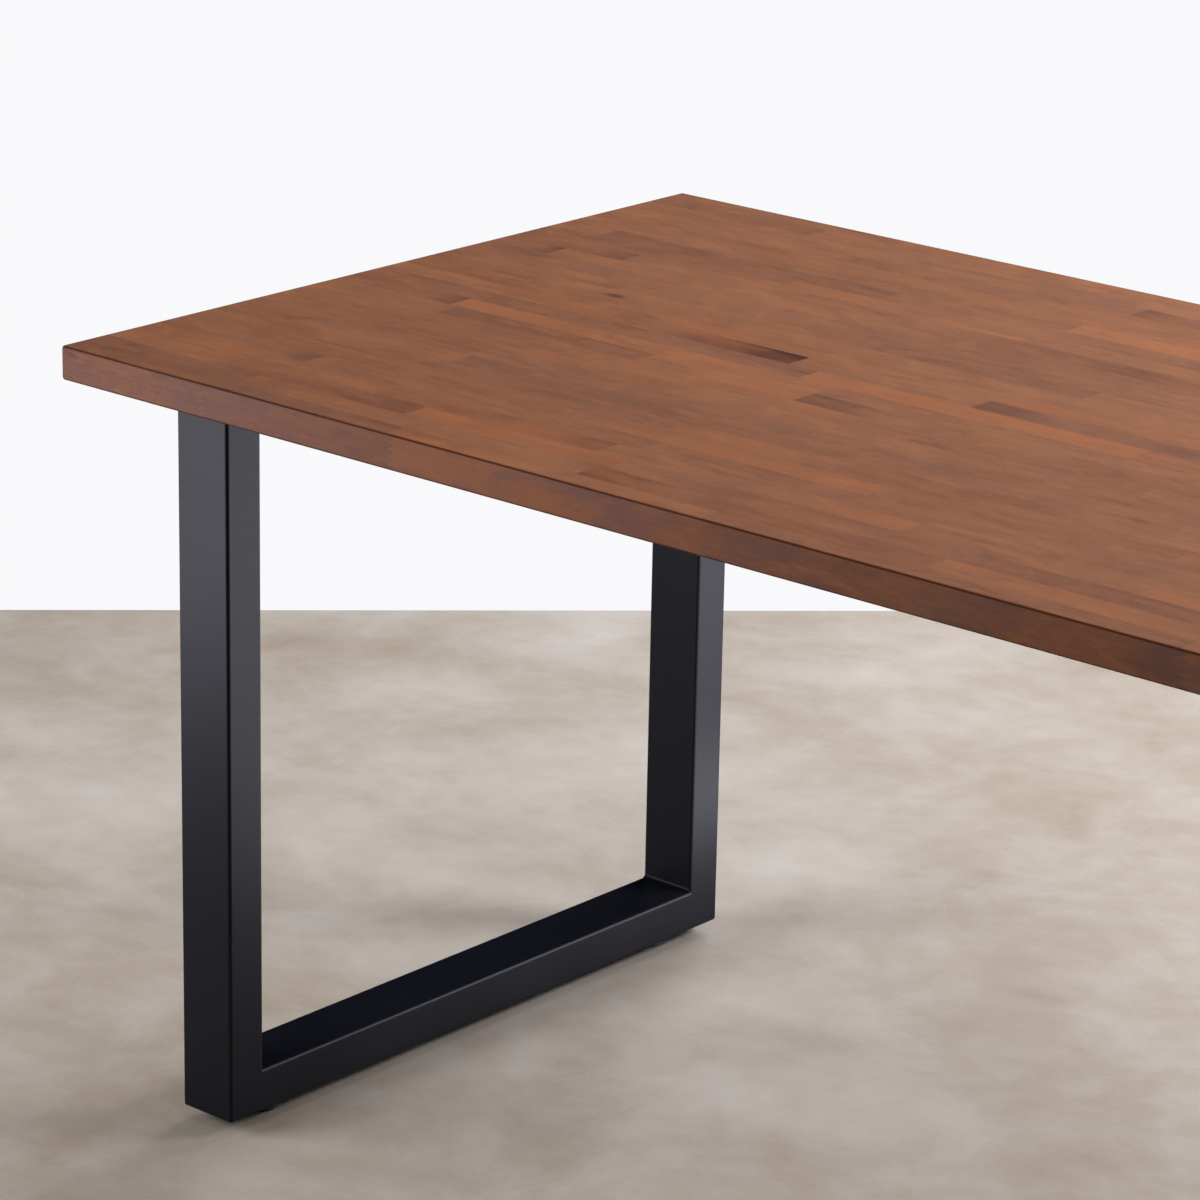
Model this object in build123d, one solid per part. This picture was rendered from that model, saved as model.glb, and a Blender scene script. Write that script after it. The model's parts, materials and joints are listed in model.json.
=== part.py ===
from build123d import *
from itertools import pairwise
from random import Random
import os

# A butcher block dining table. The top is made of rows of finger-jointed hardwood blocks, glued
# edge to edge. It is bolted to two welded steel frames, which stand on four screw-adjusted feet.
#
# Millimetres. The origin is on the floor under the middle of the top. +X runs along the table
# to its right end, +Y to its back and +Z up.

# ---- Driving dimensions ----

LENGTH = 1500
DEPTH = 800
HEIGHT = 705

# Top
TOP_THICKNESS = 30
EDGE_RADIUS = 3
ROW_WIDTH = 28
FULL_ROWS = 27  # one trimmed row more along the front, and one along the back
BLOCK_LENGTHS = (210, 330)  # how short the blocks of a row may be, before their joints stray
JOINT_SCATTER = 0.3  # how far a joint strays from even spacing, as a share of that spacing
FINGERS = 5
FINGER_LENGTH = 8

# Joints that are set by hand, as places from the table's left end. Rows count from the front.
SET_JOINTS = {
    1: (165, 375),
    2: (185, 370, 553, 888, 1020),
    3: (130, 346, 560),
    4: (290, 524, 700, 822),
    5: (180, 545),
    8: (265, 485, 890),
    12: (145, 370, 540, 700, 952),
    13: (135, 540, 905),
    14: (143, 500, 830),
    15: (143, 467, 655, 895),
    20: (72, 430),
    21: (136, 540, 760),
    23: (60, 390, 726),
    24: (300, 568, 720),
    26: (226, 515),
    27: (330, 575, 690),
}

# Steel frames
FRAME_END_GAP = 65  # from the table's end to the frame's outer face
FRAME_WIDTH = 660
FRAME_FLOOR_GAP = 12
TUBE_WIDTH = 60  # along the table's length, on uprights and rail alike
TUBE_DEPTH = 40
TUBE_WALL = 2.3
TUBE_RADIUS = 3
WELD_RADIUS = 4  # of the concave bead in the corners between rail and uprights
PLATE_WIDTH = 110
PLATE_THICKNESS = 6
PLATE_CORNER = 6
PLATE_WELD = 4  # leg of the bead between an upright and its plate

# Bolts that hold the top to the plates
BOLT_ROWS = (-8, 0, 8)  # the rows of blocks that the bolts go into, counted from the middle one
BOLT_OFFSET = 43  # from the frame's middle plane, to each side of the tube
BOLT_DIAMETER = 8
BOLT_LENGTH = 22
BOLT_HEAD_DIAMETER = 14
BOLT_HEAD_HEIGHT = 4.4
BOLT_SOCKET = 5  # across the flats
BOLT_SOCKET_DEPTH = 2.6
WASHER_DIAMETER = 17
WASHER_THICKNESS = 1.6
BOLT_HOLE = 9
BOLT_SLOT_LENGTH = 17  # of the outer holes, which let the wood shrink and swell across the rows
INSERT_DIAMETER = 12
INSERT_LENGTH = 18
INSERT_FLANGE_DIAMETER = 16
INSERT_FLANGE_THICKNESS = 1.2
INSERT_POCKET_DEPTH = 20

# Levelling feet
FOOT_INSET = 65  # from the frame's end
FOOT_TRAVEL = 10
PAD_DIAMETER = 31
PAD_HEIGHT = 6
PAD_RIM_HEIGHT = 3.4
PAD_TOP_DIAMETER = 20
PAD_FLOOR = 1.7
PAD_LIP = 1.1
STEM_DIAMETER = 8
STEM_SPARE = 2  # of thread still above the nut at full travel
STEM_BUTTON_DIAMETER = 12
STEM_BUTTON_HEIGHT = 2.6
STEM_HEX = 13  # across the flats
STEM_HEX_BOTTOM = 6.4
STEM_HEX_HEIGHT = 4.2
PART_CLEARANCE = 0.3
THREAD_CLEARANCE = 0.05
NUT_FLANGE_DIAMETER = 15
NUT_FLANGE_THICKNESS = 1
NUT_BODY_DIAMETER = 11
NUT_BULGE_DIAMETER = 14
NUT_BULGE_HEIGHT = 3
NUT_LENGTH = 16

# ---- Places worked out from them ----

UNDERSIDE = HEIGHT - TOP_THICKNESS
PLATE_BOTTOM = UNDERSIDE - PLATE_THICKNESS
RAIL_TOP = FRAME_FLOOR_GAP + TUBE_DEPTH
HALF_FRAME = FRAME_WIDTH / 2
HALF_WINDOW = HALF_FRAME - TUBE_DEPTH
FRAME_X = LENGTH / 2 - FRAME_END_GAP - TUBE_WIDTH / 2
FOOT_Y = HALF_FRAME - FOOT_INSET
STEM_TOP = FRAME_FLOOR_GAP + NUT_LENGTH + FOOT_TRAVEL + STEM_SPARE
BOLT_YS = [row * ROW_WIDTH for row in BOLT_ROWS]
BOLT_PLACES = [(x, y) for x in (-BOLT_OFFSET, BOLT_OFFSET) for y in BOLT_YS]
SIDES = {"left": -1, "right": 1}
ENDS = {"front": -1, "rear": 1}


# ---- Small helpers ----


def along_x(outline, length):
    """A closed outline of (y, z) points as a bar along X, centred on the origin's plane."""
    face = make_face(Plane.YZ * Polyline(*outline, close=True))
    return extrude(face, amount=length / 2, both=True)


def turned(outline):
    """A closed outline of (radius, z) points, turned about Z."""
    return revolve(make_face(Plane.XZ * Polyline(*outline, close=True)), Axis.Z)


def disc(diameter, bottom, top):
    """An upright cylinder between two heights."""
    return Pos(0, 0, bottom) * extrude(Circle(diameter / 2), amount=top - bottom)


def hexagon(across_flats, bottom, top):
    """An upright hexagonal bar between two heights."""
    outline = RegularPolygon(across_flats / 2, 6, major_radius=False)
    return Pos(0, 0, bottom) * extrude(outline, amount=top - bottom)


def group(solids):
    """Separate solids that share one node."""
    return Compound(children=list(solids))


# ---- Top ----


def rounded_slab():
    """The whole top as one body, which gives the outer blocks their rounded edges."""
    slab = Pos(0, 0, HEIGHT - TOP_THICKNESS / 2) * Box(LENGTH, DEPTH, TOP_THICKNESS)
    return fillet(slab.edges(), EDGE_RADIUS)


def joint_places(row):
    """Where the blocks of a row meet, from the table's left end."""
    dice = Random(row)
    places = []
    for start, stop in pairwise([0, *SET_JOINTS.get(row, ()), LENGTH]):
        count = max(1, int((stop - start) / dice.uniform(*BLOCK_LENGTHS)))
        spacing = (stop - start) / count
        scatter = [0] + [dice.uniform(-JOINT_SCATTER, JOINT_SCATTER) for _ in range(count - 1)]
        places += [start + spacing * (i + stray) for i, stray in enumerate(scatter)]
    return places[1:]


def finger_line(place):
    """The zigzag of one finger joint from the underside up, as (x, z) points."""
    x = place - LENGTH / 2
    step = TOP_THICKNESS / (2 * FINGERS)
    return [(x + FINGER_LENGTH * (i % 2), UNDERSIDE + step * i) for i in range(2 * FINGERS + 1)]


def end_line(x):
    """The straight end of the top, as (x, z) points."""
    return [(x, UNDERSIDE), (x, HEIGHT)]


def row_limits(row):
    """The front and back Y of a row of blocks. The first and last are trimmed to the depth."""
    front = ROW_WIDTH * (row - 2 - FULL_ROWS / 2)
    return max(front, -DEPTH / 2), min(front + ROW_WIDTH, DEPTH / 2)


def insert_pockets(front, back):
    """The blind holes for the threaded inserts that lie in one row."""
    pocket = disc(INSERT_DIAMETER, UNDERSIDE, UNDERSIDE + INSERT_POCKET_DEPTH)
    pocket += disc(INSERT_FLANGE_DIAMETER, UNDERSIDE, UNDERSIDE + INSERT_FLANGE_THICKNESS)
    return [
        Pos(side * FRAME_X + x, y, 0) * pocket
        for side in SIDES.values()
        for x, y in BOLT_PLACES
        if front < y < back
    ]


def stave_row(row, slab):
    """One row of the top, as separate blocks that meet in finger joints."""
    front, back = row_limits(row)
    lines = [end_line(-LENGTH / 2), *map(finger_line, joint_places(row)), end_line(LENGTH / 2)]
    pockets = insert_pockets(front, back)
    blocks = []
    for left, right in pairwise(lines):
        outline = Plane.XZ * Polyline(*left, *reversed(right), close=True)
        bar = extrude(Pos(0, front, 0) * make_face(outline), amount=back - front, dir=(0, 1, 0))
        blocks.append((bar & slab) - pockets)
    return group(blocks)


# ---- Steel frames, made about X = 0 ----


def tube_section():
    """The hollow section of the uprights and the rail, with its width along local X."""
    outer = RectangleRounded(TUBE_WIDTH, TUBE_DEPTH, TUBE_RADIUS)
    inner_size = (TUBE_WIDTH - 2 * TUBE_WALL, TUBE_DEPTH - 2 * TUBE_WALL)
    return outer - RectangleRounded(*inner_size, TUBE_RADIUS - TUBE_WALL)


def mitre_wedge(below):
    """What a 45 degree mitre takes off at the front corner, below or above its cut."""
    outer = (-HALF_FRAME, FRAME_FLOOR_GAP)
    inner = (-HALF_WINDOW, RAIL_TOP)
    spare = (-HALF_WINDOW, FRAME_FLOOR_GAP) if below else (-HALF_FRAME, RAIL_TOP)
    return along_x([outer, inner, spare], 2 * TUBE_WIDTH)


def ground_corner():
    """What grinding takes off the welded mitre at the front outer corner."""
    middle_y = -HALF_FRAME + TUBE_RADIUS
    middle_z = FRAME_FLOOR_GAP + TUBE_RADIUS
    size = (2 * TUBE_WIDTH, TUBE_RADIUS, TUBE_RADIUS)
    block = Pos(0, middle_y - TUBE_RADIUS / 2, middle_z - TUBE_RADIUS / 2) * Box(*size)
    straight = TUBE_WIDTH - 2 * TUBE_RADIUS
    rounding = Cylinder(TUBE_RADIUS, straight, rotation=(0, 90, 0))
    rounding += [Pos(end * straight / 2, 0, 0) * Sphere(TUBE_RADIUS) for end in (-1, 1)]
    return block - Pos(0, middle_y, middle_z) * rounding


def upright():
    """The front upright, mitred to the rail at its foot."""
    bar = extrude(tube_section(), amount=PLATE_BOTTOM - FRAME_FLOOR_GAP)
    bar = Pos(0, -HALF_FRAME + TUBE_DEPTH / 2, FRAME_FLOOR_GAP) * bar
    return bar - mitre_wedge(below=True) - ground_corner()


def rail():
    """The bottom rail, mitred at both ends, with a hole for each foot's rivet nut."""
    section = Plane.XZ * tube_section()
    bar = Pos(0, 0, FRAME_FLOOR_GAP + TUBE_DEPTH / 2) * extrude(section, FRAME_WIDTH / 2, both=True)
    cuts = mitre_wedge(below=False) + ground_corner()
    bar = bar - cuts - mirror(cuts, Plane.XZ)
    hole = disc(NUT_BODY_DIAMETER, 0, FRAME_FLOOR_GAP + 2 * TUBE_WALL)
    return bar - [Pos(0, end * FOOT_Y, 0) * hole for end in ENDS.values()]


def window_frame():
    """A plain solid frame whose window has the welds' rounded corners and the tubes' edges."""
    height = PLATE_BOTTOM - FRAME_FLOOR_GAP
    middle = Pos(0, 0, (PLATE_BOTTOM + FRAME_FLOOR_GAP) / 2)
    window_height = 2 * (PLATE_BOTTOM - RAIL_TOP)  # it runs past the top, which stays open
    window = Plane.YZ * RectangleRounded(2 * HALF_WINDOW, window_height, WELD_RADIUS)
    window = Pos(0, 0, RAIL_TOP + window_height / 2) * extrude(window, TUBE_WIDTH, both=True)
    body = middle * Box(TUBE_WIDTH, FRAME_WIDTH, height) - window
    edges = body.edges().filter_by_position(Axis.Y, -HALF_FRAME, HALF_FRAME, (False, False))
    edges = edges.filter_by_position(Axis.Z, FRAME_FLOOR_GAP, PLATE_BOTTOM, (False, False))
    rims = [edge for edge in edges if edge.bounding_box().size.X < 1]
    return fillet(rims, TUBE_RADIUS)


def corner_weld(frame):
    """The concave bead in the front corner between the rail and the upright."""
    size = WELD_RADIUS
    block = Pos(0, -HALF_WINDOW + size / 2, RAIL_TOP + size / 2) * Box(TUBE_WIDTH, size, size)
    return block & frame


def plate_weld():
    """The bead round the head of the front upright, under the plate, on its three inner sides."""
    outline = (TUBE_WIDTH + 2 * PLATE_WELD, TUBE_DEPTH + 2 * PLATE_WELD)
    bead = extrude(RectangleRounded(*outline, TUBE_RADIUS + PLATE_WELD), amount=-PLATE_WELD)
    bead = chamfer(bead.faces().sort_by(Axis.Z)[0].edges(), PLATE_WELD * 0.7)
    tube = RectangleRounded(TUBE_WIDTH, TUBE_DEPTH, TUBE_RADIUS)
    bead -= extrude(tube, amount=-PLATE_WELD)
    bead = Pos(0, -HALF_FRAME + TUBE_DEPTH / 2, PLATE_BOTTOM) * bead
    return bead & Box(2 * TUBE_WIDTH, FRAME_WIDTH, 2 * HEIGHT)


def welds():
    """All beads of one frame."""
    front = [corner_weld(window_frame()), plate_weld()]
    return group(front + [mirror(bead, Plane.XZ) for bead in front])


def top_plate():
    """The plate across the uprights, with a slot or a round hole for each bolt."""
    plate = extrude(RectangleRounded(PLATE_WIDTH, FRAME_WIDTH, PLATE_CORNER), PLATE_THICKNESS)
    hole = extrude(Circle(BOLT_HOLE / 2), PLATE_THICKNESS)
    slot = extrude(SlotOverall(BOLT_SLOT_LENGTH, BOLT_HOLE, rotation=90), PLATE_THICKNESS)
    plate -= [Pos(x, y, 0) * (slot if y else hole) for x, y in BOLT_PLACES]
    return Pos(0, 0, PLATE_BOTTOM) * plate


# ---- Fasteners of the top, made about the bolt's axis ----


def bolt():
    """A button head socket bolt, up through the washer and plate into the insert."""
    seat = PLATE_BOTTOM - WASHER_THICKNESS
    head = disc(BOLT_HEAD_DIAMETER, seat - BOLT_HEAD_HEIGHT, seat)
    head = fillet(head.edges().sort_by(Axis.Z)[0], BOLT_HEAD_HEIGHT - 0.6)
    face = seat - BOLT_HEAD_HEIGHT
    head -= hexagon(BOLT_SOCKET, face, face + BOLT_SOCKET_DEPTH)
    return head + disc(BOLT_DIAMETER, seat, seat + BOLT_LENGTH)


def washer():
    """A flat washer between the bolt's head and the plate."""
    bottom = PLATE_BOTTOM - WASHER_THICKNESS
    hole = disc(BOLT_DIAMETER + 2 * PART_CLEARANCE, bottom, PLATE_BOTTOM)
    return disc(WASHER_DIAMETER, bottom, PLATE_BOTTOM) - hole


def insert():
    """A threaded insert, flush with the underside of the top."""
    body = disc(INSERT_DIAMETER, UNDERSIDE, UNDERSIDE + INSERT_LENGTH)
    body += disc(INSERT_FLANGE_DIAMETER, UNDERSIDE, UNDERSIDE + INSERT_FLANGE_THICKNESS)
    bore = BOLT_DIAMETER + 2 * THREAD_CLEARANCE
    return body - disc(bore, UNDERSIDE, UNDERSIDE + INSERT_LENGTH)


def at_each_bolt(piece):
    """A copy of the piece at every bolt of both frames."""
    frames = [Pos(side * FRAME_X, 0, 0) for side in SIDES.values()]
    return group(frame * Pos(x, y, 0) * piece for frame in frames for x, y in BOLT_PLACES)


# ---- Levelling feet, made about the stem's axis ----


def rivet_nut():
    """The threaded nut that is riveted into the rail's bottom wall."""
    bore = STEM_DIAMETER / 2 + THREAD_CLEARANCE
    wall_top = FRAME_FLOOR_GAP + TUBE_WALL
    bulge_top = wall_top + NUT_BULGE_HEIGHT
    body = NUT_BODY_DIAMETER / 2
    outline = [
        (bore, FRAME_FLOOR_GAP - NUT_FLANGE_THICKNESS),
        (NUT_FLANGE_DIAMETER / 2, FRAME_FLOOR_GAP - NUT_FLANGE_THICKNESS),
        (NUT_FLANGE_DIAMETER / 2, FRAME_FLOOR_GAP),
        (body, FRAME_FLOOR_GAP),
        (body, wall_top),
        (NUT_BULGE_DIAMETER / 2, wall_top),
        (NUT_BULGE_DIAMETER / 2, bulge_top),
        (body, bulge_top),
        (body, FRAME_FLOOR_GAP + NUT_LENGTH),
        (bore, FRAME_FLOOR_GAP + NUT_LENGTH),
    ]
    return turned(outline)


def foot_pad():
    """The plastic pad, with the socket that holds the stem's lower end."""
    rim = PAD_DIAMETER / 2
    pocket_top = PAD_HEIGHT - PAD_LIP
    outline = [
        (0, 0),
        (rim - 0.6, 0),
        (rim, 0.6),
        (rim, PAD_RIM_HEIGHT),
        (PAD_TOP_DIAMETER / 2, PAD_HEIGHT),
        (0, PAD_HEIGHT),
    ]
    pad = turned(outline)
    pad -= disc(STEM_BUTTON_DIAMETER + 2 * PART_CLEARANCE, PAD_FLOOR, pocket_top)
    return pad - disc(STEM_DIAMETER + 2 * PART_CLEARANCE, pocket_top, PAD_HEIGHT)


def foot_stem():
    """The threaded stem, with its hexagon and the button that snaps into the pad."""
    button_bottom = PAD_FLOOR + PART_CLEARANCE
    hex_top = STEM_HEX_BOTTOM + STEM_HEX_HEIGHT
    stem = disc(STEM_DIAMETER, button_bottom, STEM_TOP)
    stem = chamfer(stem.edges().sort_by(Axis.Z)[-1], 0.8)
    stem += disc(STEM_BUTTON_DIAMETER, button_bottom, button_bottom + STEM_BUTTON_HEIGHT)
    return stem + hexagon(STEM_HEX, STEM_HEX_BOTTOM, hex_top)


# ---- Assembly ----


def top_nodes():
    """The rows of the top, from front to back."""
    slab = rounded_slab()
    return {f"stave_row_{row:02d}": stave_row(row, slab) for row in range(1, FULL_ROWS + 3)}


def frame_nodes():
    """The pieces of both steel frames."""
    front_upright = upright()
    rear_upright = mirror(front_upright, Plane.XZ)
    pieces = {
        "front_upright": front_upright,
        "rear_upright": rear_upright,
        "bottom_rail": rail(),
        "top_plate": top_plate(),
        "welds": welds(),
    }
    return {
        f"{side}_{name}": Pos(sign * FRAME_X, 0, 0) * piece
        for side, sign in SIDES.items()
        for name, piece in pieces.items()
    }


def fastener_nodes():
    """The fasteners between the top and the frames, and the nuts of the feet."""
    nut_places = [(x * FRAME_X, y * FOOT_Y, 0) for x in SIDES.values() for y in ENDS.values()]
    return {
        "plate_bolts": at_each_bolt(bolt()),
        "plate_washers": at_each_bolt(washer()),
        "threaded_inserts": at_each_bolt(insert()),
        "foot_rivet_nuts": group(Pos(*place) * rivet_nut() for place in nut_places),
    }


def foot_nodes():
    """The pad and the stem of each levelling foot."""
    nodes = {}
    for side, x in SIDES.items():
        for end, y in ENDS.items():
            place = Pos(x * FRAME_X, y * FOOT_Y, 0)
            nodes[f"{side}_{end}_foot_pad"] = place * foot_pad()
            nodes[f"{side}_{end}_foot_stem"] = place * foot_stem()
    return nodes


os.makedirs("parts", exist_ok=True)
nodes = top_nodes() | frame_nodes() | fastener_nodes() | foot_nodes()
for name, shape in nodes.items():
    export_step(shape, f"parts/{name}.step")
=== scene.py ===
import json
import math
from itertools import pairwise
from random import Random

import bmesh
import bpy
from mathutils import Matrix, Vector


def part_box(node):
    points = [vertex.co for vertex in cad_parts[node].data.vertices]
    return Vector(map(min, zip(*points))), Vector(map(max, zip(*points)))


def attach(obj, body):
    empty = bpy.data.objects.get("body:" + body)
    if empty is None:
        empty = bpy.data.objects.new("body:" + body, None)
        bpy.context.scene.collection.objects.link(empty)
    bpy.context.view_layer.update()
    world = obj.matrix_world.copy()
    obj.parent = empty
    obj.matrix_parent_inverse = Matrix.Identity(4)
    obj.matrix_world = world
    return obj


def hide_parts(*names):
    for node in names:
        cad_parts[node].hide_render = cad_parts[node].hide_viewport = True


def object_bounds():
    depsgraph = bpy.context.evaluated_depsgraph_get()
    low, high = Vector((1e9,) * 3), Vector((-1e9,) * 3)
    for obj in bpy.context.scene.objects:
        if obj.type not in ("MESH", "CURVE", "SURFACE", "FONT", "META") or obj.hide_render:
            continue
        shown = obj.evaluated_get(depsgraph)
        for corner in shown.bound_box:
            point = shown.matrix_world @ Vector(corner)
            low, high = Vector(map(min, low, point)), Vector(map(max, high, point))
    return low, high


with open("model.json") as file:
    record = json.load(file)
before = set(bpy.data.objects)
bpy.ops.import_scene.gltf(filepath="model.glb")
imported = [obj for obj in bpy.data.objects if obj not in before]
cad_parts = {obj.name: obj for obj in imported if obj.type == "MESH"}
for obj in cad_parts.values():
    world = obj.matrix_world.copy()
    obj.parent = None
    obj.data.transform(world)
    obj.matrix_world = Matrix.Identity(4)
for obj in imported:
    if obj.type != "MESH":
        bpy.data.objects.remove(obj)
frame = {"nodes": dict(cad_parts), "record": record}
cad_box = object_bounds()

# A butcher block table: rows of finger-jointed hardwood blocks on two welded steel frames.
# Metres. The origin is on the floor under the middle of the top, +X runs along the table to its
# right end, +Y to its back and +Z up.

# ---- Sizes ----

TOP = cad_box[1][2]
HALF_LENGTH = cad_box[1][0]
HALF_DEPTH = cad_box[1][1]
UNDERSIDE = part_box("stave_row_15")[0][2]
ROWS = 29
ROW_WIDTH = 0.028
EDGE_RADIUS = 0.003
ROUND_STEPS = 6  # round a quarter turn
FINGERS = 5
FINGER_LENGTH = 0.008
FINGER_STEP = (TOP - UNDERSIDE) / (2 * FINGERS)
NEAR = 1e-6  # places closer than this are the same
SHARP_ANGLE = math.radians(35)  # edges that turn further than this stay crisp

FOOT_CORNERS = ("left_front", "left_rear", "right_front", "right_rear")
STEM_RADIUS = 0.004
STEM_EASE = 0.0004  # how far its button's edges are turned down
STEM_BUTTON_RADIUS = 0.006
STEM_BUTTON_HEIGHT = 0.0026
HEX_FLAT = 0.0065  # from the stem's middle to one of the hexagon's flats
HEX_BOTTOM = 0.0064  # above the floor, and so is its top
HEX_TOP = 0.0106
HEX_EASE_WIDTH = 0.0002  # how far its corners are turned down inside the flats
HEX_EASE_HEIGHT = 0.0006
HEX_EASE_STEPS = (0, 0.3, 0.6, 1)
THREAD_PITCH = 0.00125
THREAD_DEPTH = 0.0008
THREAD_PROFILE = ((0, 0.125), (1, 0.44), (1, 0.56), (0, 0.875))  # shares of its depth and pitch
THREAD_RUN_IN = 1.5  # turns by which it starts early, to be cut off level
THREAD_STEPS = 24  # round one turn
STEM_STEPS = 72  # round the rest of the stem

# CAD pieces that get slightly rounded edges
SOFT_EDGE = 0.0003
SOFTENED = ["plate_bolts", "plate_washers", "foot_rivet_nuts", "left_top_plate", "right_top_plate"]
SOFTENED += [f"{corner}_foot_pad" for corner in FOOT_CORNERS]

# ---- Colours of the top's blocks ----

# Blocks whose colour is given one by one, by their row from the front and about where their middle is
# from the table's left end. tone is 0 dark to 1 light, warm is -1 greyish to 1 orange, and left
# and right are how much darker the block gets towards that end, over its last reach metres.
SET_BLOCKS = {
    (1, 0.080): dict(tone=0.45, left=0.08, reach=0.090),
    (1, 0.270): dict(tone=0.45),
    (1, 0.910): dict(tone=0.48, right=0.10, reach=0.130),
    (2, 0.090): dict(tone=0.45, warm=-0.4, left=0.12, reach=0.080),
    (2, 0.278): dict(tone=0.55, warm=0.1),
    (2, 0.720): dict(tone=0.45, left=0.30, reach=0.085),
    (2, 1.260): dict(tone=0.55, warm=0.3),
    (3, 0.238): dict(tone=0.50, right=0.36, reach=0.110),
    (3, 0.453): dict(tone=0.54, warm=0.3, right=0.26, reach=0.070),
    (3, 1.000): dict(tone=0.45),
    (4, 0.407): dict(tone=0.50, right=0.26, reach=0.060),
    (4, 0.761): dict(tone=0.56, warm=0.3),
    (5, 0.090): dict(tone=0.50, right=0.24, reach=0.045),
    (7, 0.840): dict(tone=0.47),
    (8, 0.375): dict(tone=0.46),
    (8, 0.688): dict(tone=0.48),
    (12, 0.258): dict(tone=0.45),
    (12, 0.455): dict(tone=0.58, warm=0.3),
    (12, 0.620): dict(tone=0.51, left=0.48, reach=0.100),
    (12, 0.826): dict(tone=0.47),
    (13, 0.068): dict(tone=0.47, right=0.36, reach=0.035),
    (13, 0.338): dict(tone=0.58, warm=0.5),
    (13, 0.722): dict(tone=0.54, warm=-0.2),
    (14, 0.322): dict(tone=0.48, right=0.12, reach=0.050),
    (14, 0.665): dict(tone=0.58, warm=0.7),
    (15, 0.305): dict(tone=0.50, right=1.0, reach=0.190),
    (15, 0.775): dict(tone=0.46, left=0.28, reach=0.080),
    (20, 0.036): dict(tone=0.48, right=0.40, reach=0.028),
    (21, 0.068): dict(tone=0.50, right=0.34, reach=0.056),
    (21, 0.650): dict(tone=0.46),
    (23, 0.225): dict(tone=0.46),
    (23, 0.560): dict(tone=0.52, right=0.34, reach=0.035),
    (24, 0.644): dict(tone=0.62, warm=0.7),
    (26, 0.370): dict(tone=0.47),
    (27, 0.632): dict(tone=0.42, left=0.20, reach=0.085),
}
PLAIN_TONES = (0.49, 0.57)  # every other block's is drawn between these
PLAIN_WARMTH = (-0.4, 0.4)
PLAIN_REACH = 0.1
KNOT_PLACE = (0.217, 0.455)  # from the table's left end and its front edge
KNOT_SIZE = (0.011, 0.005)  # half its length and width
BLOCK_ATTRIBUTES = ("block_place", "block_tone", "block_ends", "block_dice")

# ---- The wood's growth rings and glue ----

RING_WIDTH = 0.0055
RING_WOBBLE = 0.008
PITH_LEAN = 0.10  # how far a block's pith strays sideways for each metre along it
PITH_STRAY = 0.06  # how far it strays sideways from one block to the next
PITH_DEPTHS = (0.004, 0.05)  # how far below the underside it is at least, and how much more
BLOCK_SHIFT = (53, 71, 37)  # spreads the blocks over their noise, so that no two look alike
GLUE_FADE = (0.00008, 0.00035)  # from its middle to where a glue line starts and ends fading

# ---- Camera, light and floor ----

CAMERA_PLACE = (2.0468, -2.9359, 1.7169)
CAMERA_HEADING = -40.906  # degrees from +Y towards +X
CAMERA_DIP = 18.112  # degrees below level
CAMERA_ROLL = 1.129
CAMERA_LENS = 139.67  # mm
CAMERA_SENSOR = 36  # mm

FLOOR_AHEAD = 5.20  # from under the camera to the floor's far edge
FLOOR_SIDE = 3.4  # from under the camera to its sides
FLOOR_BEHIND = 0.8  # from under the camera to its near edge
FLOOR_EDGE_TURN = -3.4  # degrees by which the far edge is off square to the camera
BACKDROP = "#f9f9fb"
SOFTBOXES = {
    "back_left": dict(place=(-1.0, 2.6, 1.8), aim=(-0.4, 0, 0.5), size=(2.0, 1.6), power=68),
    "back_right": dict(place=(1.3, 1.7, 1.7), aim=(0.4, 0.2, 0.7), size=(1.0, 0.8), power=64),
    "overhead": dict(place=(0.2, -0.1, 3.3), aim=(0.1, -0.3, 0.5), size=(2.6, 2.6), power=43),
    "front_left": dict(place=(-2.3, -2.2, 1.3), aim=(-0.6, -0.4, 0.2), size=(1.8, 1.4), power=68),
}
# Panels that only show as sheen on smooth surfaces
SHEEN_COLOUR = (0.90, 0.87, 1.0)
SHEEN_PANELS = {
    "left_panel": dict(place=(-1.15, -0.9, 0.6), aim=(-0.65, -0.33, 0.6), size=(0.7, 0.9), power=11),
    "right_panel": dict(place=(-0.11, 0.51, 0.33), aim=(-1.07, 0.23, 0.33), size=(1.15, 0.66), power=12),
    "low_panel": dict(place=(-0.37, 0.4, 0.035), aim=(-1.3, 0.1, 0.035), size=(0.5, 0.065), power=1),
}


# ---- Meshes of the top ----


def finger_x(z):
    """How far a finger joint's zigzag reaches to the right at a height."""
    turn = (z - UNDERSIDE) / FINGER_STEP % 2
    return FINGER_LENGTH * min(turn, 2 - turn)


def quarter_turn():
    """Cosine and sine of the angles that round an edge, from 0 to 90 degrees."""
    angles = (math.pi / 2 * step / ROUND_STEPS for step in range(ROUND_STEPS + 1))
    return [(math.cos(angle), math.sin(angle)) for angle in angles]


def side_column(y, outward):
    """One long side of a block from the underside up, as points (y, z, dy, dz).

    The first two are a rounding's centre and the others the way from there to the surface.
    outward is -1 or 1 at the table's front or back edge, and 0 on a side that is glued.
    """
    low, high = UNDERSIDE + EDGE_RADIUS, TOP - EDGE_RADIUS
    levels = [UNDERSIDE + FINGER_STEP * level for level in range(2, 2 * FINGERS - 1)]
    if not outward:
        middle = [(y, z, 0, 0) for z in (low, *levels, high)]
        return [(y, low, 0, -1), *middle, (y, high, 0, 1)]
    centre = y - outward * EDGE_RADIUS
    under = [(centre, low, outward * sine, -cosine) for cosine, sine in quarter_turn()]
    over = [(centre, high, outward * cosine, sine) for cosine, sine in quarter_turn()]
    return under + [(centre, z, outward, 0) for z in levels] + over


def section(columns, x, size):
    """A block's section across the row at one place along it, with its roundings at that size."""
    radius = EDGE_RADIUS * size
    front, back = columns
    return [Vector((x, y + radius * dy, z + radius * dz)) for y, z, dy, dz in front + back[::-1]]


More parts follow.
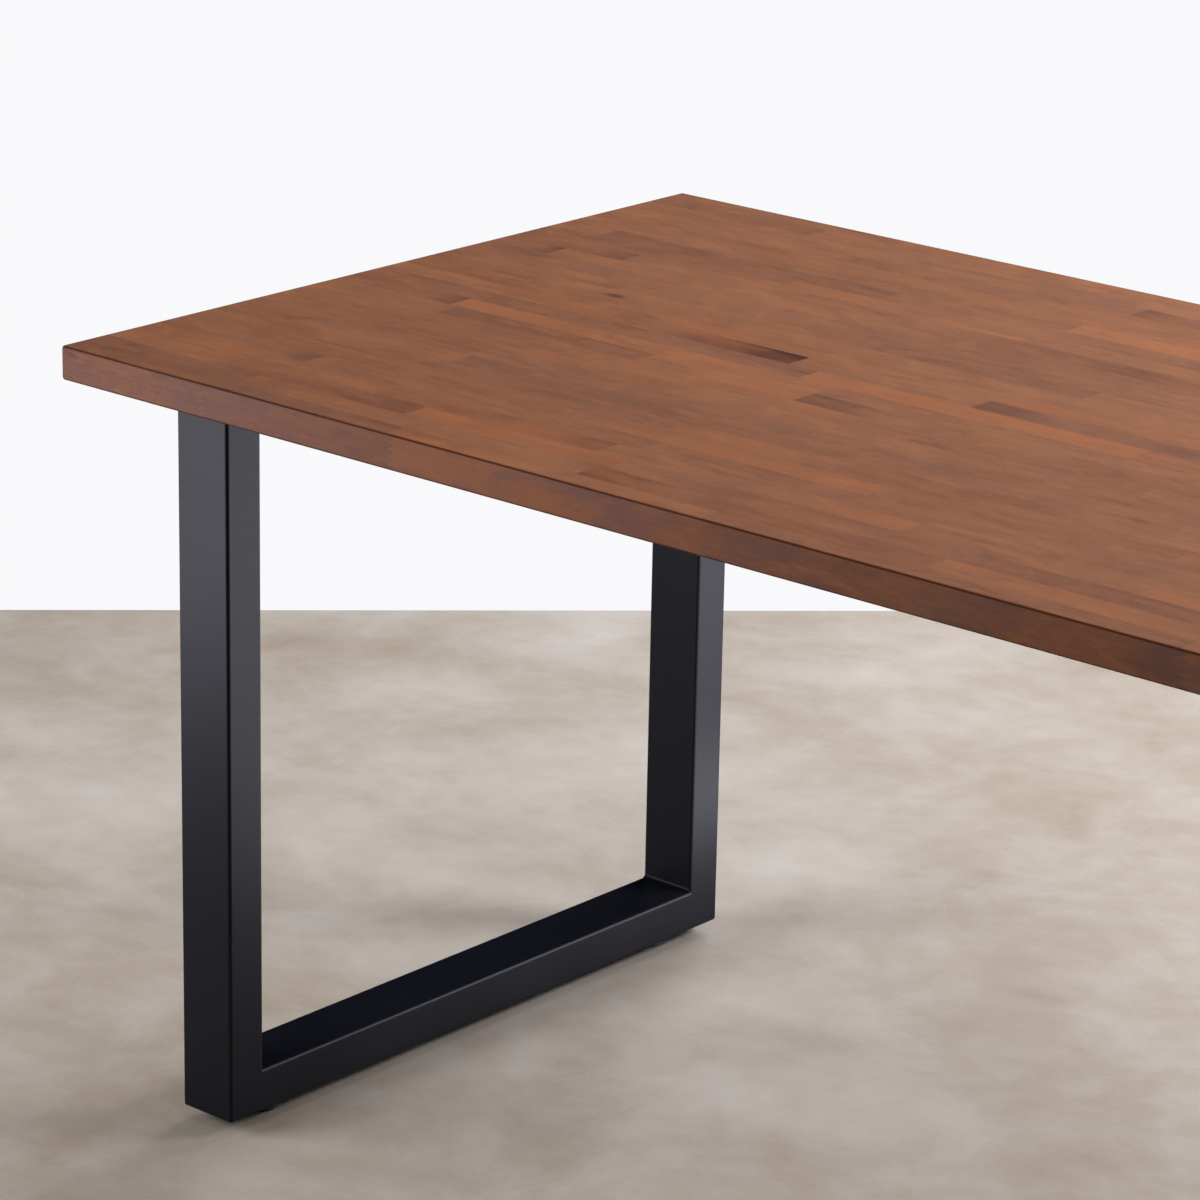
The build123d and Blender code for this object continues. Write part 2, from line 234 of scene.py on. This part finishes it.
def joint_section(columns, x):
    """The same at a finger joint, where it follows the zigzag."""
    points = section(columns, x, 1)
    for point in points:
        point.x += finger_x(point.z)
    return points


def end_sections(columns, end):
    """The same over the rounding at an end of the table, from the flat end face inwards."""
    edge = end * (HALF_LENGTH - EDGE_RADIUS)
    turn = reversed(quarter_turn())
    return [section(columns, edge + end * EDGE_RADIUS * sine, cosine) for cosine, sine in turn]


def add_face(mesh, corners):
    """A face on these corners, some of which may coincide."""
    corners = list(dict.fromkeys(corners))
    return [mesh.faces.new(corners)] if len(corners) > 2 else []


def finger_faces(mesh, ring):
    """The sloping faces of a finger joint, which close a block's end."""
    faces = []
    for step in range(2 * FINGERS):
        low = UNDERSIDE + FINGER_STEP * step - NEAR
        high = low + FINGER_STEP + 2 * NEAR
        faces += add_face(mesh, [corner for corner in ring if low <= corner.co.z <= high])
    return faces


def add_block(mesh, columns, left, right):
    """Adds one closed block to a bmesh, between two finger joints or ends of the table."""
    ends = [abs(x) > HALF_LENGTH - NEAR for x in (left, right)]
    sections = end_sections(columns, -1) if ends[0] else [joint_section(columns, left)]
    sections += end_sections(columns, 1)[::-1] if ends[1] else [joint_section(columns, right)]
    corners = {}
    rings = []
    for points in sections:
        keys = [tuple(round(value / NEAR) for value in point) for point in points]
        for key, point in zip(keys, points):
            if key not in corners:
                corners[key] = mesh.verts.new(point)
        rings.append([corners[key] for key in keys])
    faces = []
    for ring, following in pairwise(rings):
        for here in range(len(ring)):
            before = here - 1
            faces += add_face(mesh, (ring[before], ring[here], following[here], following[before]))
    for ring, is_end in zip((rings[0], rings[-1]), ends):
        faces += add_face(mesh, ring) if is_end else finger_faces(mesh, ring)
    return faces


def joint_places(node):
    """Where the blocks of a row start and stop on the table's upper face."""
    on_top = {round(vert.co.x, 4) for vert in node.data.vertices if vert.co.z > TOP - NEAR}
    return [-HALF_LENGTH, *sorted(on_top)[1:-1], HALF_LENGTH]


def block_looks(row, left, right, middle):
    """What the wood's material needs to know of one block, as values for its attributes."""
    dice = Random(f"row {row} block {left:.3f}")
    looks = dict(tone=dice.uniform(*PLAIN_TONES), warm=dice.uniform(*PLAIN_WARMTH))
    looks.update(left=0, right=0, reach=PLAIN_REACH)
    for (set_row, place), chosen in SET_BLOCKS.items():
        if set_row == row and left < place - HALF_LENGTH < right:
            looks.update(chosen)
    return (
        (left, right, middle),
        (looks["tone"], looks["warm"], 0),
        (looks["left"], looks["right"], looks["reach"]),
        (dice.random(), dice.random(), dice.random()),
    )


def stave_row(row, material):
    """One row of the top, as separate blocks, in place of its CAD node."""
    node = frame["nodes"][f"stave_row_{row:02d}"]
    low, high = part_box(node.name)
    front = side_column(low[1], -1 if row == 1 else 0)
    back = side_column(high[1], 1 if row == ROWS else 0)
    work = bmesh.new()
    layers = [work.faces.layers.float_vector.new(name) for name in BLOCK_ATTRIBUTES]
    for left, right in pairwise(joint_places(node)):
        looks = block_looks(row, left, right, (low[1] + high[1]) / 2)
        for face in add_block(work, (front, back), left, right):
            for layer, value in zip(layers, looks):
                face[layer] = value
    bmesh.ops.recalc_face_normals(work, faces=work.faces)
    piece = new_piece(f"{node.name}_blocks", work, material)
    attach(piece, "table")
    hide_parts(node.name)


def turned_rings(work, outline):
    """Rings of corners about Z from a (radius, z) outline, kept inside the stem's hexagon."""
    rings = []
    for radius, z in outline:
        ring = []
        for step in range(STEM_STEPS):
            angle = math.tau * step / STEM_STEPS
            flat = HEX_FLAT / math.cos(angle % (math.pi / 3) - math.pi / 6)
            reach = min(radius, flat)
            ring.append(work.verts.new((reach * math.cos(angle), reach * math.sin(angle), z)))
        rings.append(ring)
    return rings


def stem_outline(bottom):
    """The stem's outline from its button up to the hexagon's top, as (radius, z) points."""
    neck = bottom + STEM_BUTTON_HEIGHT
    points = [
        (STEM_BUTTON_RADIUS - STEM_EASE, bottom),
        (STEM_BUTTON_RADIUS, bottom + STEM_EASE),
        (STEM_BUTTON_RADIUS, neck - STEM_EASE),
        (STEM_BUTTON_RADIUS - STEM_EASE, neck),
        (STEM_RADIUS, neck),
        (STEM_RADIUS, HEX_BOTTOM),
    ]
    corner = HEX_FLAT / math.cos(math.pi / 6)
    inner = HEX_FLAT - HEX_EASE_WIDTH
    ease = [(inner + (corner - inner) * part, HEX_EASE_HEIGHT * part) for part in HEX_EASE_STEPS]
    points += [(radius, HEX_BOTTOM + rise) for radius, rise in ease]
    points += [(radius, HEX_TOP - rise) for radius, rise in reversed(ease)]
    return points


def join_rings(work, rings):
    """The faces between rings that follow each other."""
    for ring, following in pairwise(rings):
        for here in range(len(ring)):
            work.faces.new((ring[here - 1], ring[here], following[here], following[here - 1]))


def add_thread(work, low, high):
    """A screw thread about Z that runs past both heights, with a tip that tapers towards high."""
    core = STEM_RADIUS - THREAD_DEPTH
    turns = math.ceil((high - low) / THREAD_PITCH) + 2
    columns = []
    for step in range(turns * THREAD_STEPS + 1):
        angle = math.tau * step / THREAD_STEPS
        base = low + THREAD_PITCH * (step / THREAD_STEPS - THREAD_RUN_IN)
        column = []
        for out, rise in THREAD_PROFILE:
            z = base + THREAD_PITCH * rise
            reach = core + min(THREAD_DEPTH * out, max(high - z, 0))
            column.append(work.verts.new((reach * math.cos(angle), reach * math.sin(angle), z)))
        columns.append(column)
    strips = list(pairwise(columns))
    for here, following in strips:
        for (a, b), (c, d) in zip(pairwise(here), pairwise(following)):
            work.faces.new((a, b, d, c))
    for (here, following), (above, above_following) in zip(strips, strips[THREAD_STEPS:]):
        work.faces.new((here[-1], above[0], above_following[0], following[-1]))


def cut_level(work, z, keep):
    """Cuts a mesh off at a height, keeping what is above (1) or below (-1). Returns the cut's edges."""
    everything = [*work.verts, *work.edges, *work.faces]
    cut = bmesh.ops.bisect_plane(
        work, geom=everything, plane_co=(0, 0, z), plane_no=(0, 0, keep), clear_inner=True, dist=NEAR / 10
    )
    return [edge for edge in cut["geom_cut"] if isinstance(edge, bmesh.types.BMEdge)]


def foot_stem(corner, material):
    """The threaded stem of one foot, with its hexagon and its button."""
    node = frame["nodes"][f"{corner}_foot_stem"]
    low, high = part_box(node.name)
    work = bmesh.new()
    add_thread(work, HEX_TOP, high[2])
    top_edges = cut_level(work, high[2], -1)
    bottom_edges = cut_level(work, HEX_TOP, 1)
    bmesh.ops.triangle_fill(work, edges=top_edges, use_beauty=True)
    rings = turned_rings(work, stem_outline(low[2]))
    join_rings(work, rings)
    work.faces.new(rings[0])
    rim = [work.edges.get((rings[-1][here - 1], rings[-1][here])) for here in range(STEM_STEPS)]
    bmesh.ops.triangle_fill(work, edges=rim + bottom_edges, use_beauty=True)
    bmesh.ops.translate(work, vec=((low[0] + high[0]) / 2, (low[1] + high[1]) / 2, 0), verts=work.verts)
    bmesh.ops.recalc_face_normals(work, faces=work.faces)
    piece = new_piece(f"{node.name}_threaded", work, material)
    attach(piece, f"{corner}_foot_stem_body")
    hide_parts(node.name)


def new_piece(name, work, material):
    """A smooth-shaded object from a bmesh, with its edges kept crisp."""
    mesh = bpy.data.meshes.new(name)
    work.to_mesh(mesh)
    work.free()
    mesh.shade_smooth()
    mesh.set_sharp_from_angle(angle=SHARP_ANGLE)
    mesh.materials.append(material)
    piece = bpy.data.objects.new(name, mesh)
    bpy.context.scene.collection.objects.link(piece)
    normals = piece.modifiers.new("flat faces stay flat", "WEIGHTED_NORMAL")
    normals.keep_sharp = True
    return piece


def soften(node):
    """Gives a CAD piece slightly rounded edges."""
    weld = node.modifiers.new("join its faces", "WELD")
    weld.merge_threshold = 5 * NEAR
    bevel = node.modifiers.new("soften its edges", "BEVEL")
    bevel.width = SOFT_EDGE
    bevel.segments = 2
    bevel.angle_limit = SHARP_ANGLE
    bevel.harden_normals = True


# ---- Materials ----


def paint(code):
    """A colour from its sRGB hex code, in Blender's linear values."""
    parts = (int(code[i : i + 2], 16) / 255 for i in (1, 3, 5))
    return (*(((part + 0.055) / 1.055) ** 2.4 if part > 0.04045 else part / 12.92 for part in parts), 1)


class Recipe:
    """A material whose nodes are added by short calls. Each call returns an output socket."""

    def __init__(self, name, **shader_values):
        self.material = bpy.data.materials.new(name)
        self.material.use_nodes = True
        self.nodes = self.material.node_tree.nodes
        self.links = self.material.node_tree.links
        self.shader = self.nodes["Principled BSDF"]
        for socket, value in shader_values.items():
            self.shader.inputs[socket.replace("_", " ")].default_value = value
        self.place = self.nodes.new("ShaderNodeTexCoord").outputs["Object"]

    def feed(self, socket, value):
        """Links a socket, or sets a plain value."""
        if isinstance(value, bpy.types.NodeSocket):
            self.links.new(value, socket)
        else:
            socket.default_value = value

    def finish(self, **sockets):
        """Links outputs to the shader's sockets, and returns the material."""
        for name, value in sockets.items():
            self.feed(self.shader.inputs[name.replace("_", " ")], value)
        return self.material

    def math(self, operation, *values):
        """A calculation with numbers."""
        node = self.nodes.new("ShaderNodeMath")
        node.operation = operation
        for socket, value in zip(node.inputs, values):
            self.feed(socket, value)
        return node.outputs[0]

    def total(self, start, *parts):
        """A start value plus several others, each times its amount."""
        result = start
        for value, amount in parts:
            result = self.math("ADD", result, self.math("MULTIPLY", value, amount))
        return result

    def vector(self, operation, *values):
        """A calculation with vectors."""
        node = self.nodes.new("ShaderNodeVectorMath")
        node.operation = operation
        for socket, value in zip(node.inputs, values):
            self.feed(socket, value)
        return node.outputs["Vector"]

    def split(self, vector):
        """A vector's three parts."""
        node = self.nodes.new("ShaderNodeSeparateXYZ")
        self.feed(node.inputs[0], vector)
        return node.outputs

    def attribute(self, name):
        """A vector that the mesh stores for each face."""
        node = self.nodes.new("ShaderNodeAttribute")
        node.attribute_name = name
        return node.outputs["Vector"]

    def facing(self):
        """How squarely the surface faces along X, Y and Z."""
        normal = self.nodes.new("ShaderNodeNewGeometry").outputs["Normal"]
        return self.split(self.vector("ABSOLUTE", normal))

    def rounding(self, facing):
        """1 on rounded edges and 0 on flat faces that lie along the axes."""
        flattest = self.math("MAXIMUM", self.math("MAXIMUM", facing[0], facing[1]), facing[2])
        return self.ease(flattest, 0.80, 0.985, 1, 0)

    def noise(self, per_metre, shift=(0, 0, 0), detail=2.0, roughness=0.5, distortion=0.0):
        """Noise around 0, from about -0.5 to 0.5, with its own scale along each axis."""
        node = self.nodes.new("ShaderNodeTexNoise")
        self.feed(node.inputs["Vector"], self.vector("MULTIPLY_ADD", self.place, per_metre, shift))
        node.inputs["Scale"].default_value = 1
        node.inputs["Detail"].default_value = detail
        node.inputs["Roughness"].default_value = roughness
        node.inputs["Distortion"].default_value = distortion
        return self.math("SUBTRACT", node.outputs[0], 0.5)

    def ease(self, value, start, stop, low=0.0, high=1.0):
        """A smooth step between two values."""
        node = self.nodes.new("ShaderNodeMapRange")
        node.interpolation_type = "SMOOTHSTEP"
        for socket, number in zip(node.inputs, (value, start, stop, low, high)):
            self.feed(socket, number)
        return node.outputs[0]

    def mix(self, factor, first, second):
        """A blend of two colours."""
        node = self.nodes.new("ShaderNodeMix")
        node.data_type = "RGBA"
        for place, value in zip((0, 6, 7), (factor, first, second)):
            self.feed(node.inputs[place], value)
        return node.outputs[2]

    def ramp(self, factor, *stops):
        """A colour along a row of (position, hex code) stops."""
        node = self.nodes.new("ShaderNodeValToRGB")
        self.feed(node.inputs[0], factor)
        elements = node.color_ramp.elements
        for element, (position, code) in zip([*elements, *(elements.new(0.5) for _ in stops[2:])], stops):
            element.position = position
            element.color = paint(code)
        return node.outputs[0]

    def bump(self, height, distance=1.0):
        """A normal from a height field, where distance is how many metres a height of 1 is."""
        node = self.nodes.new("ShaderNodeBump")
        node.inputs["Distance"].default_value = distance
        self.feed(node.inputs["Height"], height)
        return node.outputs[0]


def growth_rings(make, dice, block, wobble):
    """Growth rings round a pith below the block that leans along it, from -0.5 to 0.5."""
    x, y, z = make.split(make.place)
    along = make.math("SUBTRACT", x, block[0])
    lean = make.math("MULTIPLY", make.math("SUBTRACT", dice[1], 0.5), PITH_LEAN)
    stray = make.math("SUBTRACT", dice[0], 0.5)
    across = make.total(make.math("SUBTRACT", y, block[2]), (along, lean), (stray, PITH_STRAY))
    up = make.total(make.math("ADD", z, PITH_DEPTHS[0] - UNDERSIDE), (dice[2], PITH_DEPTHS[1]))
    radius = make.math("SQRT", make.math("ADD", make.math("POWER", across, 2), make.math("POWER", up, 2)))
    turns = make.math("MULTIPLY", make.total(radius, (wobble, RING_WOBBLE)), math.tau / RING_WIDTH)
    return make.math("MULTIPLY", make.math("SINE", turns), 0.5)


def block_shade(make, block, ends):
    """How much darker a block is towards its ends."""
    x = make.split(make.place)[0]
    left_amount, right_amount, reach = ends
    from_left = make.math("DIVIDE", make.math("SUBTRACT", x, block[0]), reach)
    from_right = make.math("DIVIDE", make.math("SUBTRACT", block[1], x), reach)
    near_left = make.ease(from_left, 0, 1, 1, 0)
    near_right = make.ease(from_right, 0, 1, 1, 0)
    return make.total(0, (near_left, left_amount), (near_right, right_amount))


def glue_lines(make, block):
    """1 on the thin lines of glue between rows and at finger joints, 0 elsewhere."""
    x, y, z = make.split(make.place)
    rows = make.math("PINGPONG", make.math("ADD", y, ROW_WIDTH / 2), ROW_WIDTH / 2)
    turn = make.math("DIVIDE", make.math("SUBTRACT", z, UNDERSIDE), FINGER_STEP)
    zigzag = make.math("MULTIPLY", make.math("PINGPONG", turn, 1), FINGER_LENGTH)
    joint = make.math("SUBTRACT", make.math("SUBTRACT", x, zigzag), block[0])
    nearest = make.math("MINIMUM", rows, make.math("ABSOLUTE", joint))
    return make.ease(nearest, *GLUE_FADE, 1, 0)


def knot(make, wobble):
    """1 in the middle of the top's one small knot, fading to 0 around it."""
    x, y, _ = make.split(make.place)
    along = make.math("DIVIDE", make.math("SUBTRACT", x, KNOT_PLACE[0] - HALF_LENGTH), KNOT_SIZE[0])
    across = make.math("DIVIDE", make.math("SUBTRACT", y, KNOT_PLACE[1] - HALF_DEPTH), KNOT_SIZE[1])
    far = make.math("SQRT", make.math("ADD", make.math("POWER", along, 2), make.math("POWER", across, 2)))
    return make.ease(make.math("ADD", far, wobble), 0.3, 1.5, 1, 0)


def hardwood():
    """Red-brown stained hardwood under a satin varnish, with its own grain in every block."""
    make = Recipe("stained_hardwood_grain", Specular_IOR_Level=0.06)
    block = make.split(make.attribute("block_place"))
    tone, warm, _ = make.split(make.attribute("block_tone"))
    ends = make.split(make.attribute("block_ends"))
    dice_vector = make.attribute("block_dice")
    dice = make.split(dice_vector)
    shift = make.vector("MULTIPLY", dice_vector, BLOCK_SHIFT)

    fibre = make.noise((60, 800, 800), shift, detail=4, roughness=0.6)
    streak = make.noise((7, 100, 100), shift, detail=3, distortion=0.8)
    mottle = make.noise((17, 42, 42), shift, detail=4, roughness=0.6, distortion=0.8)
    cloud = make.noise((4, 9, 9), detail=2)
    wobble = make.noise((7, 45, 45), shift, detail=2)
    hue = make.noise((8, 24, 24), shift, detail=2)
    fleck = make.ease(make.noise((60, 240, 240), shift, detail=2), 0.08, 0.24)
    pores = make.ease(make.noise((150, 2400, 2400), shift, detail=1), 0.12, 0.20)
    smudge = make.ease(make.noise((24, 70, 70), shift, detail=1), 0.18, 0.34)
    rings = growth_rings(make, dice, block, wobble)

    facing = make.facing()
    end_grain = make.ease(facing[0], 0.6, 0.9)
    long_edge = make.ease(facing[1], 0.6, 0.9)
    rounding = make.rounding(facing)
    glue = glue_lines(make, block)

    shade = make.total(
        tone,
        (fibre, 0.18),
        (streak, 0.14),
        (mottle, 0.55),
        (cloud, 0.20),
        (rings, 0.04),
        (fleck, 0.09),
        (smudge, -0.14),
        (pores, -0.07),
        (knot(make, wobble), -0.35),
        (block_shade(make, block, ends), -0.5),
        (end_grain, -0.10),
        (glue, -0.05),
    )
    colour = make.ramp(
        shade, (0.0, "#402c2a"), (0.25, "#614236"), (0.5, "#825742"), (0.75, "#986548"), (1.0, "#ae7854")
    )
    warmth = make.total(warm, (hue, 1.6))
    warmer = make.mix(make.ease(warmth, 0, 1, 0, 0.5), colour, paint("#a0603c"))
    greyer = make.mix(make.ease(warmth, -1, 0, 0.3, 0), warmer, paint("#6f5349"))
    # The long edges are painted greyer in patches: partly their own colour, partly a painted sheen of the
    # light they face.
    grey_patches = make.ease(make.math("ADD", hue, mottle), -0.25, 0.15, 0.5, 0.0)
    edged = make.mix(make.math("MULTIPLY", long_edge, grey_patches), greyer, paint("#6f5250"))
    # The roundings are painted dark red-brown: partly the stain soaking in there, partly a painted dark
    # reflection of the surroundings.
    stain_and_painted_edge_shade = make.mix(make.math("MULTIPLY", rounding, 0.85), edged, paint("#3c1a0d"))
    rough = make.total(0.5, (mottle, 0.12), (pores, 0.12))
    relief = make.total(0, (fibre, 0.00004), (pores, -0.00005), (glue, -0.00008))
    return make.finish(Base_Color=stain_and_painted_edge_shade, Roughness=rough, Normal=make.bump(relief))


def powder_coat():
    """Fine satin black powder coat over steel, with orange peel and a faint bloom."""
    make = Recipe("black_powder_coat_grain", Specular_IOR_Level=0.14)
    peel = make.noise((420, 420, 420), detail=2)
    grit = make.noise((2600, 2600, 2600), detail=1)
    bloom = make.noise((9, 9, 5), detail=3)
    worn = make.ease(make.noise((60, 60, 60), detail=2), 0.12, 0.3)
    edge = make.rounding(make.facing())
    shade = make.total(
        0.5,
        (bloom, 0.5),
        (grit, 0.3),
        (edge, -0.25),
    )
    colour = make.ramp(shade, (0.0, "#0b0d14"), (1.0, "#181b23"))
    rough = make.total(
        0.38,
        (bloom, 0.10),
        (grit, 0.06),
        (make.math("MULTIPLY", edge, worn), -0.10),
    )
    relief = make.total(0, (peel, 0.00004), (grit, 0.000012))
    return make.finish(Base_Color=colour, Roughness=rough, Normal=make.bump(relief))


def zinc_plate():
    """Bright zinc plated steel, with a faint blue and yellow passivation and turning marks."""
    make = Recipe("zinc_steel_grain", Metallic=1.0)
    cloud = make.noise((180, 180, 180), detail=3)
    marks = make.noise((300, 300, 6000), detail=1)
    shade = make.math("ADD", cloud, 0.5)
    colour = make.ramp(shade, (0.25, "#a9b0b8"), (0.5, "#c3c4c4"), (0.75, "#c9c3ae"))
    rough = make.total(0.3, (cloud, 0.2), (marks, 0.1))
    return make.finish(Base_Color=colour, Roughness=rough, Normal=make.bump(marks, 0.00001))


def black_zinc():
    """Black zinc plating on the bolts, a little browner where it is thin."""
    make = Recipe("black_bolt_steel_grain", Metallic=0.9)
    cloud = make.noise((260, 260, 260), detail=3)
    marks = make.noise((500, 500, 5000), detail=1)
    colour = make.ramp(make.math("ADD", cloud, 0.5), (0.2, "#1b1b1d"), (0.8, "#3a3733"))
    rough = make.total(0.38, (cloud, 0.25), (marks, 0.08))
    return make.finish(Base_Color=colour, Roughness=rough, Normal=make.bump(marks, 0.00001))


def moulded_plastic():
    """Black moulded plastic with a fine spark-eroded grain."""
    make = Recipe("pad_plastic_grain", Specular_IOR_Level=0.2)
    grain = make.noise((2200, 2200, 2200), detail=2)
    scuff = make.noise((160, 160, 900), detail=3)
    colour = make.ramp(make.math("ADD", scuff, 0.5), (0.2, "#121213"), (0.8, "#222224"))
    rough = make.total(0.55, (scuff, 0.2), (grain, 0.1))
    return make.finish(Base_Color=colour, Roughness=rough, Normal=make.bump(grain, 0.00003))


def concrete():
    """The floor: pale beige-grey trowelled concrete with soft clouds."""
    make = Recipe("studio_floor", Specular_IOR_Level=0.0)
    cloud = make.noise((1.8, 1.8, 1.8), detail=4, roughness=0.55, distortion=0.8)
    stain = make.noise((6.5, 6.5, 6.5), detail=5, roughness=0.6, distortion=0.4)
    trowel = make.noise((30, 30, 30), detail=3)
    grit = make.noise((220, 220, 220), detail=2)
    shade = make.total(
        0.5,
        (cloud, 0.9),
        (stain, 0.9),
        (trowel, 0.25),
        (grit, 0.15),
    )
    colour = make.ramp(shade, (0.1, "#998b7c"), (0.5, "#aba197"), (0.9, "#beb8b4"))
    rough = make.total(0.8, (cloud, 0.2))
    return make.finish(Base_Color=colour, Roughness=rough)


# ---- The studio ----


def camera_axes():
    """The camera's right, up and backward directions."""
    heading, dip, roll = map(math.radians, (CAMERA_HEADING, CAMERA_DIP, CAMERA_ROLL))
    ahead = Vector((math.sin(heading) * math.cos(dip), math.cos(heading) * math.cos(dip), -math.sin(dip)))
    right = Vector((math.cos(heading), -math.sin(heading), 0))
    up = right.cross(ahead)
    rolled_right = right * math.cos(roll) + up * math.sin(roll)
    rolled_up = up * math.cos(roll) - right * math.sin(roll)
    return rolled_right, rolled_up, -ahead


def add_camera():
    """Puts the camera at its place and turns it."""
    data = bpy.data.cameras.new("camera")
    data.lens = CAMERA_LENS
    data.sensor_width = CAMERA_SENSOR
    camera = bpy.data.objects.new("camera", data)
    axes = Matrix(camera_axes()).transposed().to_4x4()
    camera.matrix_world = Matrix.Translation(CAMERA_PLACE) @ axes
    bpy.context.scene.collection.objects.link(camera)
    bpy.context.scene.camera = camera


def add_floor():
    """The floor, whose far edge is the line where it meets the backdrop."""
    heading = math.radians(CAMERA_HEADING + FLOOR_EDGE_TURN)
    ahead = Vector((math.sin(heading), math.cos(heading), 0))
    right = Vector((math.cos(heading), -math.sin(heading), 0))
    under_camera = Vector((*CAMERA_PLACE[:2], 0))
    work = bmesh.new()
    corners = []
    for side, reach in ((-1, FLOOR_AHEAD), (1, FLOOR_AHEAD), (1, -FLOOR_BEHIND), (-1, -FLOOR_BEHIND)):
        corners.append(work.verts.new(under_camera + right * side * FLOOR_SIDE + ahead * reach))
    work.faces.new(corners[::-1])
    mesh = bpy.data.meshes.new("floor")
    work.to_mesh(mesh)
    work.free()
    mesh.materials.append(concrete())
    floor = bpy.data.objects.new("floor", mesh)
    bpy.context.scene.collection.objects.link(floor)


def add_softbox(name, place, aim, size, power, only_sheen=False):
    """A large soft area light that points at a place and isn't seen itself."""
    data = bpy.data.lights.new(name, "AREA")
    data.shape = "RECTANGLE"
    data.size, data.size_y = size
    data.energy = power
    data.color = SHEEN_COLOUR if only_sheen else (1, 1, 1)
    light = bpy.data.objects.new(name, data)
    towards = Vector(aim) - Vector(place)
    turn = towards.to_track_quat("-Z", "Y").to_matrix().to_4x4()
    light.matrix_world = Matrix.Translation(place) @ turn
    light.visible_camera = False
    light.visible_diffuse = not only_sheen
    light.visible_glossy = only_sheen
    bpy.context.scene.collection.objects.link(light)


def add_world():
    """A near-white backdrop that the camera sees and that gives no light."""
    world = bpy.data.worlds.new("studio")
    world.use_nodes = True
    nodes = world.node_tree.nodes
    links = world.node_tree.links
    background = nodes["Background"]
    background.inputs["Color"].default_value = paint(BACKDROP)
    path = nodes.new("ShaderNodeLightPath")
    links.new(path.outputs["Is Camera Ray"], background.inputs["Strength"])
    bpy.context.scene.world = world


# ---- Assembly ----

wood = hardwood()
for row in range(1, ROWS + 1):
    stave_row(row, wood)

metal = {
    "black_powder_coat": powder_coat(),
    "black_bolt_steel": black_zinc(),
    "zinc_steel": zinc_plate(),
    "pad_plastic": moulded_plastic(),
}
for name in SOFTENED:
    soften(frame["nodes"][name])
for corner in FOOT_CORNERS:
    foot_stem(corner, metal["zinc_steel"])
for part in frame["record"]["subparts"]:
    if part["material_slot"] in metal:
        frame["nodes"][part["node"]].data.materials[0] = metal[part["material_slot"]]

add_camera()
add_floor()
add_world()
for name, light in SOFTBOXES.items():
    add_softbox(name, **light)
for name, light in SHEEN_PANELS.items():
    add_softbox(name, **light, only_sheen=True)
bpy.context.scene.view_settings.view_transform = "Standard"
